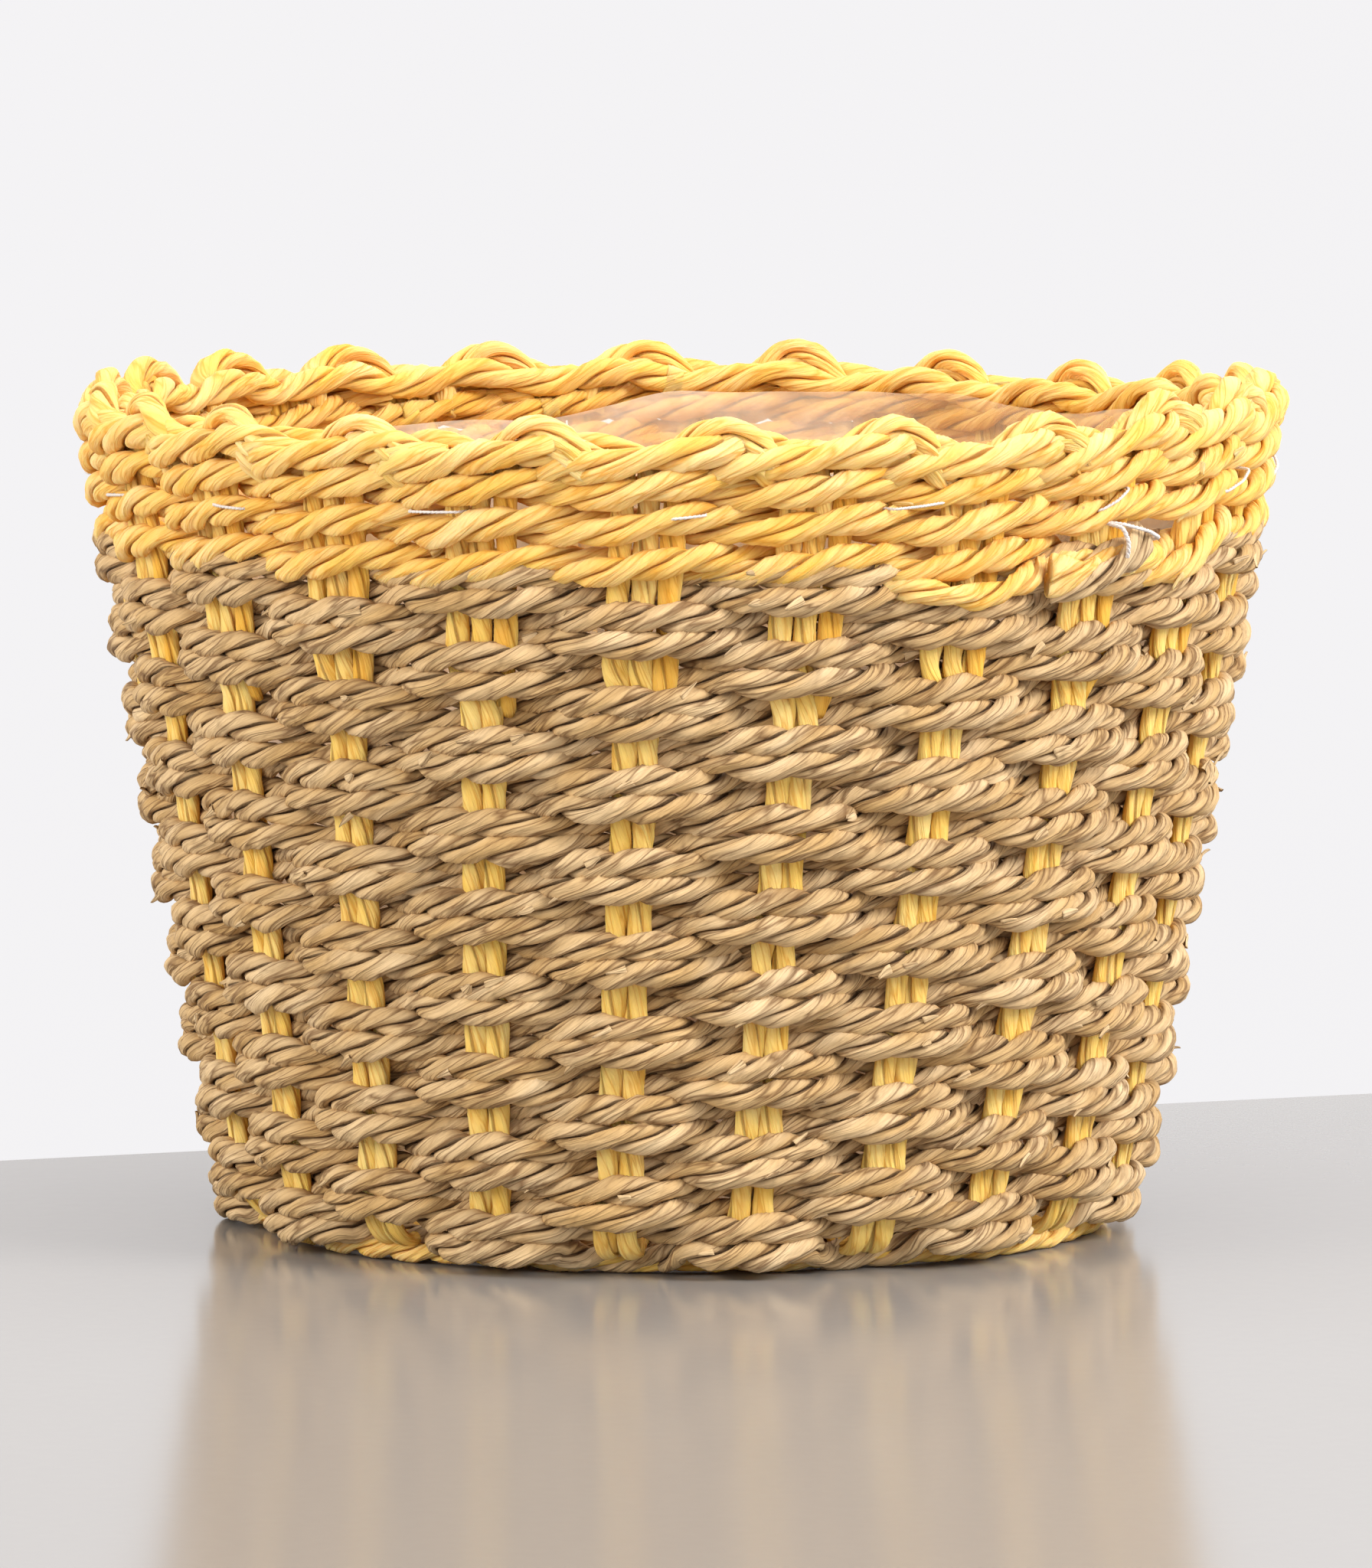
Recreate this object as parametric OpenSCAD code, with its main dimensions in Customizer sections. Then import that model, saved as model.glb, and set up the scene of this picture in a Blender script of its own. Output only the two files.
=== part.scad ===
// Round tapered easter basket, plain-woven from twisted paper cord, with a
// twined band and a scalloped border in yellow and a clear film liner.
// Millimetres. The origin is on the ground under the middle of the basket,
// +Z is up and the front is towards -Y.

/* [Overall size] */
// Height from the ground to the tops of the scallops
basket_h = 174; // [171:0.5:179]
// Radius of the circle of stakes at the rim
top_r = 119.2; // [114:0.1:126]
// Radius of the circle of stakes at the ground
foot_r = 89.3; // [88:0.1:96]
// How far round the basket each stake leans between foot and rim, degrees
stake_lean = 5.7; // [0:0.1:8]
// Where stake 0 stands at half height, degrees round from +X
first_stake = -95.3; // [-180:0.1:180]

/* [Spokes and stakes] */
// Diameter of one cord, two of which make a spoke
stake_cord_d = 4; // [3:0.1:4.2]
// Gap between the two cords of a spoke
stake_cord_gap = 0.3; // [0.2:0.1:0.5]
// Radius of the bend where a spoke turns up the side
stake_bend_r = 9; // [7:0.5:11]
// Height of the middle of the spokes in the base
spoke_z = 6.5; // [6.5:0.1:8]

/* [Side weave] */
// Height of the middle of the lowest tan round
lowest_round_z = 7.8; // [7.5:0.1:8.4]
// Distance from one round to the next
round_pitch = 8.2; // [8.14:0.01:8.24]
// Diameter of one cord where the rounds cross between stakes
tan_cord_d = 3.9; // [3:0.1:3.9]
// How far a round stands out over one stake and in behind the next
swing = 4.6; // [4.4:0.1:5]
// Part of the space between two stakes that a round lies flat on a stake
flat_share = 0.2; // [0.18:0.01:0.3]

/* [Rim] */
// Height of the middle of the lowest twined round
twine_first_z = 146; // [145.6:0.1:147]
// Distance from one twined round to the next
twine_pitch = 6.7; // [6.5:0.1:7]
// Diameter of one twining cord
twine_cord_d = 4; // [3:0.1:4]
// How far a twining cord rises and falls as it passes a stake
twine_rise = 1.2; // [0.5:0.1:1.3]
// Diameter of a border cord
border_cord_d = 4.2; // [3:0.1:4.4]
// Height of the low end of a border strand
border_low_z = 163.6; // [163.6:0.1:164]
// Height of the high end of a border strand
border_high_z = 168.6; // [167:0.1:169]
// Radius of one scallop's arch
arch_r = 14; // [12:0.5:15]
// Half the angle that one arch covers, degrees
arch_half_a = 52; // [40:1:55]

/* [Base] */
// Radius of the innermost woven round of the base
base_first_r = 55; // [54:0.5:56]
// Radius of the rope that the basket stands on
foot_rope_r = 80; // [80:0.5:81]
// Diameter of that rope
foot_rope_d = 4.4; // [3.6:0.1:4.4]

/* [Liner and trim] */
// Thickness of the film, drawn thicker than the real film
liner_t = 0.5; // [0.4:0.1:0.8]
// Gap between the film and the weave
liner_gap = 0.6; // [0.4:0.1:0.8]
// Height of the film's floor
liner_floor_z = 13.6; // [13.6:0.1:15]
// Height of the film's upper edge
liner_top_z = 166; // [158:0.5:167]
// Diameter of the sewing thread
thread_d = 0.8; // [0.6:0.1:1]

/* [Hidden] */
$fn = 48;
stakes = 22;
step = 360 / stakes;
stitches = 16;
stitch_first_a = -88.2;
cord_sides = 6;
cord_offset = (stake_cord_d + stake_cord_gap) / 2;
spoke_w = 2 * (stake_cord_d + stake_cord_gap);
wall_half_t = swing + tan_cord_d / 2;
stake_top_z = border_low_z - border_cord_d / 2 - 0.4;
cross_half = 27;
fan_r = 50;
taper = atan((top_r - foot_r) / basket_h);
splice_z = 141;
splice_from = -60;
splice_to = -49;
tail_a = -41;
YELLOW = [0.86, 0.68, 0.34];
TAN = [0.72, 0.56, 0.36];
WHITE = [0.95, 0.95, 0.93];

// Radius of the circle of stakes at height z.
function wall_r(z) = foot_r + (top_r - foot_r) * z / basket_h;
// Where stake k stands at height z, degrees round from +X. k may be a fraction.
function stake_at(k, z) = first_stake + step * k + stake_lean * (z / basket_h - 0.5);
function polar(r, a, z) = [r * cos(a), r * sin(a), z];
function sideways(a) = [-sin(a), cos(a), 0];
function unit(v) = v / norm(v);
function ring_section(d) =
    [for (j = [0 : cord_sides - 1]) d / 2 * [cos(360 * j / cord_sides), sin(360 * j / cord_sides)]];
// Outline of two cords of diameter d side by side, pitch apart.
function pair_section(d, pitch) =
    [[d / 2, -pitch / 2], [d / 2, pitch / 2], [0, pitch / 2 + d / 2],
     [-d / 2, pitch / 2], [-d / 2, -pitch / 2], [0, -pitch / 2 - d / 2]];

// Direction of travel at point i of an open or a closed path.
function heading(path, i, closed) =
    let (n = len(path),
         before = closed ? path[(i + n - 1) % n] : path[max(i - 1, 0)],
         after = closed ? path[(i + 1) % n] : path[min(i + 1, n - 1)])
    unit(after - before);

// A section swept along a path. Each entry of across lies across the path
// there: the section's first axis is square to both, its second along across.
module sweep(path, across, section, closed = false) {
    n = len(path);
    m = len(section);
    rings = [for (i = [0 : n - 1])
        let (t = heading(path, i, closed),
             u = unit(cross(t, across[i])),
             v = cross(u, t))
        for (p = section) path[i] + p[0] * u + p[1] * v];
    skin = [for (i = [0 : n - (closed ? 1 : 2)])
        for (j = [0 : m - 1])
            let (a = i * m, b = ((i + 1) % n) * m, k = (j + 1) % m)
            each [[a + j, a + k, b + k], [a + j, b + k, b + j]]];
    caps = closed ? [] : [
        [for (j = [m - 1 : -1 : 0]) j],
        [for (j = [0 : m - 1]) (n - 1) * m + j]];
    polyhedron(points = rings, faces = concat(skin, caps), convexity = 10);
}

// Points of half a spoke, as [point, sideways direction]: from the edge of the
// cross at the middle of the base, out to stake k's place, and up the side.
// end_a is the direction of that end of the spoke, offset its place beside the
// cross's own axis and layer_z its height there.
function half_spoke(k, end_a, offset, layer_z) =
    let (foot_a = stake_at(k, 0),
         top_a = stake_at(k, stake_top_z),
         bend_z = spoke_z + stake_bend_r,
         bend_x = wall_r(bend_z) - stake_bend_r)
    concat(
        [[polar(cross_half, end_a, layer_z) + offset * sideways(end_a), sideways(end_a)],
         [polar(fan_r, foot_a, spoke_z), sideways(foot_a)]],
        [for (a = [0 : (90 - taper) / 4 : 90 - taper + 0.01])
            [polar(bend_x + stake_bend_r * sin(a), foot_a, bend_z - stake_bend_r * cos(a)),
             sideways(foot_a)]],
        [[polar(wall_r(stake_top_z), top_a, stake_top_z), sideways(top_a)]]);

// A through-spoke of two cords. It ends in stake k_a one way and k_b the other.
// end_a is the direction of its k_a end.
module spoke(k_a, k_b, end_a, offset, layer_z) {
    out_half = half_spoke(k_a, end_a, offset, layer_z);
    far_half = half_spoke(k_b, end_a + 180, -offset, layer_z);
    last = len(out_half) - 1;
    whole = concat([for (i = [last : -1 : 0]) out_half[i]],
                   [for (p = far_half) [p[0], -p[1]]]);
    color(YELLOW)
    for (s = [-1, 1])
        sweep([for (p = whole) p[0] + s * cord_offset * p[1]],
              [for (p = whole) p[1]], ring_section(stake_cord_d));
}

// Spokes 1 to 6 lie side by side below, and 7 to 11 cross them above.
module numbered_spoke(i) {
    lift = (stake_cord_d + stake_cord_gap) / 2;
    if (i <= 6)
        spoke(3 + i, 21 - i, stake_at(6.5, 0), (i - 3.5) * spoke_w, spoke_z - lift);
    else
        spoke(3 + i, 32 - i, stake_at(12, 0), (i - 9) * spoke_w, spoke_z + lift);
}

// Points of a plain-woven round of radius r at height z. It lies flat over
// every second stake and flat behind the others; first picks which.
function woven_path(r, z, first) =
    [for (k = [0 : stakes - 1]) for (s = [-1, 1])
        polar(r + ((k + first) % 2 == 0 ? swing : -swing), stake_at(k + s * flat_share, z), z)];

// A round of tan double cord, numbered from the foot.
module tan_round(i) {
    z = lowest_round_z + (i - 1) * round_pitch;
    path = woven_path(wall_r(z), z, i);
    color(TAN)
    sweep(path, [for (p = path) [0, 0, 1]], pair_section(tan_cord_d, round_pitch / 2), true);
}

// A round of the base: double cord woven over and under the spokes.
module base_round(i) {
    r = base_first_r + (i - 1) * round_pitch;
    path = [for (k = [0 : stakes - 1]) for (s = [-1, 1])
        polar(r, stake_at(k + s * 0.3, 0), spoke_z + ((k + i) % 2 == 0 ? swing : -swing))];
    color(TAN)
    sweep(path, [for (k = [0 : stakes - 1]) for (s = [-1, 1]) polar(1, stake_at(k + s * 0.3, 0), 0)],
          pair_section(tan_cord_d, round_pitch / 2), true);
}

// One cord of a twined round, which passes outside one stake and inside the
// next, and turns about its partner between them. turn is 0 or 180.
module twine_cord(i, turn) {
    z = twine_first_z + (i - 1) * twine_pitch;
    path = [for (k = [0 : 1 / 3 : stakes - 0.01])
        polar(wall_r(z) + swing * cos(180 * k + 180 * i + turn), stake_at(k, z),
              z + twine_rise * sin(180 * k + 180 * i + turn))];
    color(YELLOW)
    sweep(path, [for (p = path) [0, 0, 1]], ring_section(twine_cord_d), true);
}

// The outer strands of the border, each rising from one stake to past the next.
module border_strands() {
    r = wall_r(border_low_z) + swing;
    color(YELLOW)
    for (k = [0 : stakes - 1]) {
        low = polar(r + 2.2, stake_at(k - 0.56, border_low_z), border_low_z);
        high = polar(r - 2.2, stake_at(k + 0.4, border_low_z), border_high_z);
        run = high - low;
        translate(low)
            rotate([0, acos(run[2] / norm(run)), atan2(run[1], run[0])])
                cylinder(h = norm(run), d = border_cord_d);
    }
}

// The scallops: an arch of cord beside each stake.
module border_arches() {
    crest_z = basket_h - border_cord_d / 2;
    color(YELLOW)
    for (k = [0 : stakes - 1])
        rotate([0, 0, stake_at(k + 0.42, basket_h)])
            translate([wall_r(crest_z) - 2.4, 0, crest_z - arch_r])
                rotate([90, 0, 90])
                    rotate([0, 0, 90 - arch_half_a])
                        rotate_extrude(angle = 2 * arch_half_a)
                            translate([arch_r, 0]) circle(d = border_cord_d);
}

// The strand that runs round inside the border.
module border_inner_ring() {
    color(YELLOW)
    translate([0, 0, border_high_z])
        rotate_extrude()
            translate([wall_r(border_high_z) - 2.4 - border_cord_d - 0.3, 0]) circle(d = border_cord_d);
}

// The rope under the edge of the base, pressed flat where the basket stands on it.
module foot_rope() {
    color(YELLOW)
    rotate_extrude()
        intersection() {
            translate([foot_rope_r, foot_rope_d / 2 - 0.5]) circle(d = foot_rope_d);
            translate([foot_rope_r - foot_rope_d, 0]) square([2 * foot_rope_d, foot_rope_d]);
        }
}

// A bag of clear film inside the weave.
module film_liner() {
    function film_r(z) = wall_r(z) - wall_half_t - liner_gap;
    color([0.97, 0.93, 0.88, 0.4])
    rotate_extrude()
        polygon([[0, liner_floor_z],
                 [film_r(liner_floor_z), liner_floor_z],
                 [film_r(liner_top_z), liner_top_z],
                 [film_r(liner_top_z) - liner_t, liner_top_z],
                 [film_r(liner_floor_z) - liner_t, liner_floor_z + liner_t],
                 [0, liner_floor_z + liner_t]]);
}

// Short upright stitches of white thread over the twined band.
module liner_stitches() {
    z = twine_first_z + 2 * twine_pitch;
    r = wall_r(z) + swing + twine_cord_d / 2 + thread_d;
    color(WHITE)
    for (i = [0 : stitches - 1])
        rotate([0, 0, stitch_first_a + i * 360 / stitches])
            translate([r, 0, z])
                rotate([0, taper, 0]) cylinder(h = 6, d = thread_d, center = true);
}

// The yellow end where the band starts, lying over the top tan rounds.
module splice_end() {
    r = wall_r(splice_z) + wall_half_t + twine_cord_d / 2 + 0.6;
    color(YELLOW)
    translate([0, 0, splice_z])
        rotate([0, 0, splice_from])
            rotate_extrude(angle = splice_to - splice_from)
                translate([r, 0]) circle(d = twine_cord_d);
}

// The turned-up end of the tan cord beside it.
module tan_tail() {
    r = wall_r(splice_z) + wall_half_t + tan_cord_d / 2 + 0.8;
    color(TAN)
    rotate([0, 0, tail_a])
        translate([r, 0, splice_z - 1])
            rotate([0, taper, 0]) cylinder(h = 11, d = tan_cord_d);
}

// A loop of white thread that ties the tan end down.
module tail_tie() {
    r = wall_r(splice_z) + wall_half_t + tan_cord_d / 2 + 0.8;
    tie_r = tan_cord_d / 2 + thread_d / 2 + 0.1;
    color(WHITE)
    rotate([0, 0, tail_a])
        translate([r, 0, splice_z - 1])
            rotate([0, taper, 0])
                translate([0, 0, 6])
                    rotate_extrude() translate([tie_r, 0]) circle(d = thread_d);
}

numbered_spoke(1);  // spoke_01
numbered_spoke(2);  // spoke_02
numbered_spoke(3);  // spoke_03
numbered_spoke(4);  // spoke_04
numbered_spoke(5);  // spoke_05
numbered_spoke(6);  // spoke_06
numbered_spoke(7);  // spoke_07
numbered_spoke(8);  // spoke_08
numbered_spoke(9);  // spoke_09
numbered_spoke(10);  // spoke_10
numbered_spoke(11);  // spoke_11
tan_round(1);  // tan_round_01
tan_round(2);  // tan_round_02
tan_round(3);  // tan_round_03
tan_round(4);  // tan_round_04
tan_round(5);  // tan_round_05
tan_round(6);  // tan_round_06
tan_round(7);  // tan_round_07
tan_round(8);  // tan_round_08
tan_round(9);  // tan_round_09
tan_round(10);  // tan_round_10
tan_round(11);  // tan_round_11
tan_round(12);  // tan_round_12
tan_round(13);  // tan_round_13
tan_round(14);  // tan_round_14
tan_round(15);  // tan_round_15
tan_round(16);  // tan_round_16
tan_round(17);  // tan_round_17
twine_cord(1, 0);  // twine_1_lead
twine_cord(1, 180);  // twine_1_follow
twine_cord(2, 0);  // twine_2_lead
twine_cord(2, 180);  // twine_2_follow
twine_cord(3, 0);  // twine_3_lead
twine_cord(3, 180);  // twine_3_follow
border_strands();
border_arches();
border_inner_ring();
base_round(1);  // base_round_1
base_round(2);  // base_round_2
base_round(3);  // base_round_3
foot_rope();
film_liner();
liner_stitches();
splice_end();
tan_tail();
tail_tie();
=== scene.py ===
import math

import bpy
import numpy as np
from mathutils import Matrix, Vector


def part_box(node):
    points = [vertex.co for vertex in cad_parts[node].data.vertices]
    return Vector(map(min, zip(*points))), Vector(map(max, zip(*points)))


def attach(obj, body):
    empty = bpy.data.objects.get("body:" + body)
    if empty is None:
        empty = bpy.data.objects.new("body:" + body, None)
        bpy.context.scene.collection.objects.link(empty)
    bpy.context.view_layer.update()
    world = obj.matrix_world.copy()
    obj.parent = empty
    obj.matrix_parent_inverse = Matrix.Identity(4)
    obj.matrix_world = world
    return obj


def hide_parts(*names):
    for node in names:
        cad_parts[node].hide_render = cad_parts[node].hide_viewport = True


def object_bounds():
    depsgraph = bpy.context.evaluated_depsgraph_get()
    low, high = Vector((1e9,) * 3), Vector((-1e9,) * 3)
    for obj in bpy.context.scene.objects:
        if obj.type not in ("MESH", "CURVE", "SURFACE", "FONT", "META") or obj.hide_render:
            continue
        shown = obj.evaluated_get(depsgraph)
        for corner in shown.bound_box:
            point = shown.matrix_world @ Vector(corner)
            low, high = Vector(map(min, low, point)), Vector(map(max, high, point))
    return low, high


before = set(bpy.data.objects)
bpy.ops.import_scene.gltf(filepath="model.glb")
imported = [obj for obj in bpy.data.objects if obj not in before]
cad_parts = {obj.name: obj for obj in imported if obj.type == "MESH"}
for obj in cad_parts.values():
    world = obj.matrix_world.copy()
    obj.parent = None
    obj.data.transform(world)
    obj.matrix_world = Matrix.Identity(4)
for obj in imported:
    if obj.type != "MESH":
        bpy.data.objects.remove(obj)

cad_low, cad_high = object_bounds()

# ---------------------------------------------------------------- measures
MM = 0.001
TAU = 2 * math.pi
STAKES = 22
STEP = TAU / STAKES
ROUNDS = 17
FRONT = -math.pi / 2
BACK_SEAM = math.pi / 2


def ring_of(node):
    """Radius, azimuth and height of every corner of a CAD node."""
    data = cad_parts[node].data
    co = np.zeros(len(data.vertices) * 3, np.float32)
    data.vertices.foreach_get("co", co)
    co = co.reshape(-1, 3).astype(float)
    return np.hypot(co[:, 0], co[:, 1]), np.arctan2(co[:, 1], co[:, 0]), co[:, 2]


def bulge_azimuth(radius, azimuth):
    """The azimuth, near the front, at which a woven round stands out over a stake."""
    far_out = radius > radius.max() - 0.25 * (radius.max() - radius.min())
    turn = np.angle(np.exp(1j * azimuth[far_out] * STAKES / 2).mean()) / (STAKES / 2)
    return turn + round((FRONT - turn) / (2 * STEP)) * 2 * STEP


round_z, round_r, round_a = [], [], []
for number in range(1, ROUNDS + 1):
    r, a, z = ring_of(f"tan_round_{number:02d}")
    round_z.append((z.max() + z.min()) / 2)
    round_r.append((r.max() + r.min()) / 2)
    round_a.append(bulge_azimuth(r, a))
# Rounds bulge over every second stake in turn, so the odd ones give one stake's line.
odd_line = np.unwrap(round_a[::2], period=2 * STEP)
wall_fit = np.polyfit(round_z, round_r, 1)
stake_fit = np.polyfit(round_z[::2], odd_line, 1)
ROUND_PITCH = (round_z[-1] - round_z[0]) / (ROUNDS - 1)
CREST = cad_high.z
# How far a tan cord swings out and in, and the whole weave is set in from the CAD's.
SWING = 3.3 * MM
SET_IN = 0.4 * MM
# How far the rounds tilt up towards the right.
RISE = 1.6 * MM


def wall_r(z):
    """Radius of the circle of stakes at height z."""
    return np.polyval(wall_fit, z)


def stake_at(k, z):
    """Azimuth of stake k at height z. Round 1 bulges over the odd stakes."""
    return np.polyval(stake_fit, z) + (np.asarray(k, float) - 1) * STEP


def ramp(x, low, high):
    """0 below low and 1 above high, with a smooth rise between."""
    t = np.clip((np.asarray(x, float) - low) / (high - low), 0, 1)
    return t * t * (3 - 2 * t)


def tilt_of(azimuth):
    """The rounds lie a little higher on the right of the front."""
    return RISE * np.cos(azimuth) - 0.3 * MM


def near_azimuth(azimuth, middle, half_width):
    """1 at the azimuth middle, falling to 0 some half_widths away, all in degrees."""
    off = np.degrees(np.angle(np.exp(1j * (np.asarray(azimuth) - math.radians(middle)))))
    return np.exp(-(off / half_width) ** 2)


# Where the rim sags or rises: millimetres, and the middle and half width in degrees.
BORDER_SAG = ((-0.6, -90, 60), (-2.3, -56, 13), (-4.6, 46, 26), (-1.2, 85, 25), (1.2, 155, 25))
BAND_SAG = ((-1.3, -60, 16), (-2.2, 46, 26))


def sag_of(azimuth, dips):
    return MM * sum(height * near_azimuth(azimuth, middle, half) for height, middle, half in dips)


def border_sag(azimuth):
    """The border dips right of the front and at the right of the back, and rises at its left."""
    return sag_of(azimuth, BORDER_SAG)


def band_sag(azimuth):
    """The band follows the border's dips in part."""
    return sag_of(azimuth, BAND_SAG)


# ------------------------------------------------------------------- noise
def noise(x, y, seed, period=0):
    """Smooth random numbers from -1 to 1, repeating along x after period steps."""
    x, y = np.broadcast_arrays(np.asarray(x, float), np.asarray(y, float))
    xi, yi = np.floor(x).astype(np.int64), np.floor(y).astype(np.int64)
    fx, fy = x - xi, y - yi
    fx, fy = fx * fx * (3 - 2 * fx), fy * fy * (3 - 2 * fy)

    def corner(a, b):
        if period:
            a = a % period
        h = (a * 73856093) ^ (b * 19349663) ^ (seed * 83492791)
        h = ((h ^ (h >> 13)) * 1274126177) & 0xFFFFFFFF
        h = (h ^ (h >> 16)) & 0xFFFFFF
        return h / 8388607.5 - 1.0

    low = corner(xi, yi) * (1 - fx) + corner(xi + 1, yi) * fx
    high = corner(xi, yi + 1) * (1 - fx) + corner(xi + 1, yi + 1) * fx
    return low * (1 - fy) + high * fy


def crease(value, width):
    """A sharp valley wherever value crosses zero."""
    return -np.clip(1 - np.abs(value) / width, 0, 1)


# ------------------------------------------------------------ mesh building
class Build:
    """Collects swept cords and flaps, and makes one piece of them.
    Faces are arrays of quads or single lists. grain is where each point lies in the paper.
    look holds the painted shade in its creases, how pale it is, and the painted shade on its side turned
    away from the outside."""

    def __init__(self):
        self.points, self.faces, self.grain, self.look, self.groove = [], [], [], [], []
        self.count = 0

    def add(self, points, faces, grain, look, groove=None):
        self.points.append(points)
        self.groove.append(np.zeros(len(points), bool) if groove is None else groove)
        self.faces += [f + self.count if isinstance(f, np.ndarray) else [i + self.count for i in f]
                       for f in faces]
        self.grain.append(grain)
        self.look.append(look)
        self.count += len(points)

    def finish(self, name, node, material):
        points = np.concatenate(self.points)
        quads = np.concatenate([f for f in self.faces if isinstance(f, np.ndarray)])
        caps = [f for f in self.faces if not isinstance(f, np.ndarray)]
        sizes = np.concatenate([np.full(len(quads), 4), [len(c) for c in caps]]).astype(np.int32)
        corners = np.concatenate([quads.ravel()] + [np.array(c) for c in caps]).astype(np.int32)
        mesh = bpy.data.meshes.new(name)
        mesh.vertices.add(len(points))
        mesh.vertices.foreach_set("co", points.astype(np.float32).ravel())
        mesh.loops.add(len(corners))
        mesh.loops.foreach_set("vertex_index", corners)
        mesh.polygons.add(len(sizes))
        starts = np.concatenate([[0], np.cumsum(sizes)[:-1]]).astype(np.int32)
        mesh.polygons.foreach_set("loop_start", starts)
        mesh.polygons.foreach_set("use_smooth", np.ones(len(sizes), bool))
        mesh.update(calc_edges=True)
        for title, values in (("grain", self.grain), ("look", self.look)):
            layer = mesh.attributes.new(title, "FLOAT_VECTOR", "POINT")
            layer.data.foreach_set("vector", np.concatenate(values).astype(np.float32).ravel())
        mesh.validate()
        ends = np.zeros(2 * len(mesh.edges), np.int32)
        mesh.edges.foreach_get("vertices", ends)
        groove = np.concatenate(self.groove)[ends.reshape(-1, 2)].all(1)
        mesh.attributes.new("sharp_edge", "BOOLEAN", "EDGE").data.foreach_set("value", groove)
        obj = bpy.data.objects.new(name, mesh)
        bpy.context.scene.collection.objects.link(obj)
        obj.data.materials.append(material)
        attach(obj, "root")
        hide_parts(node)
        return obj


def spaced(points, step, *others):
    """The path with even steps, and other columns carried along it."""
    s = np.concatenate([[0], np.cumsum(np.linalg.norm(np.diff(points, axis=0), axis=1))])
    n = max(int(round(s[-1] / step)), 3)
    at = np.linspace(0, s[-1], n + 1)
    moved = [np.stack([np.interp(at, s, c) for c in p.T], 1) if p.ndim == 2 else np.interp(at, s, p)
             for p in (points, *others)]
    return moved[0] if not others else moved


def smooth(points, times):
    for _ in range(times):
        inner = (points[:-2] + 2 * points[1:-1] + points[2:]) / 4
        points = np.concatenate([points[:1], inner, points[-1:]])
    return points


def facets(angle, count):
    """Radius of a regular polygon of radius 1, which is what folds make of a round cord."""
    part = TAU / count
    return math.cos(part / 2) / np.cos(np.mod(angle, part) - part / 2)


# How paper cords vary. Each length is in metres along the cord, and the rest are shares.
TWIST_VARIES, TWIST_LENGTH = 0.34, 0.014
WAIST, WAIST_POWER = 0.40, 1.3
NOTCH, NOTCH_POWER = 0.28, 6
SWELL, SWELL_LENGTH = 0.11, 0.0085
SLACK, SLACK_LENGTH = 0.04, 0.0034
FOLD_SIDES, FOLD_DEPTH, FOLD_MEAN = 4, 0.42, 0.80
# Depth and width of the wide, fine and cut creases, and their mean depth.
WIDE_CREASE, FINE_CREASE, CUT_CREASE = (0.040, 0.18), (0.020, 0.30), (0.060, 0.13)
CREASE_MEAN = 0.03
# Share of a strand's width beside the groove that is darkened with painted shade.
GROOVE_PAINTED_SHADE = 0.26
# Radius of a cord in the paper's own coordinates, which set the size of its grain.
GRAIN_R = 0.0026
TABLE_GAP = 0.05 * MM


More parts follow.
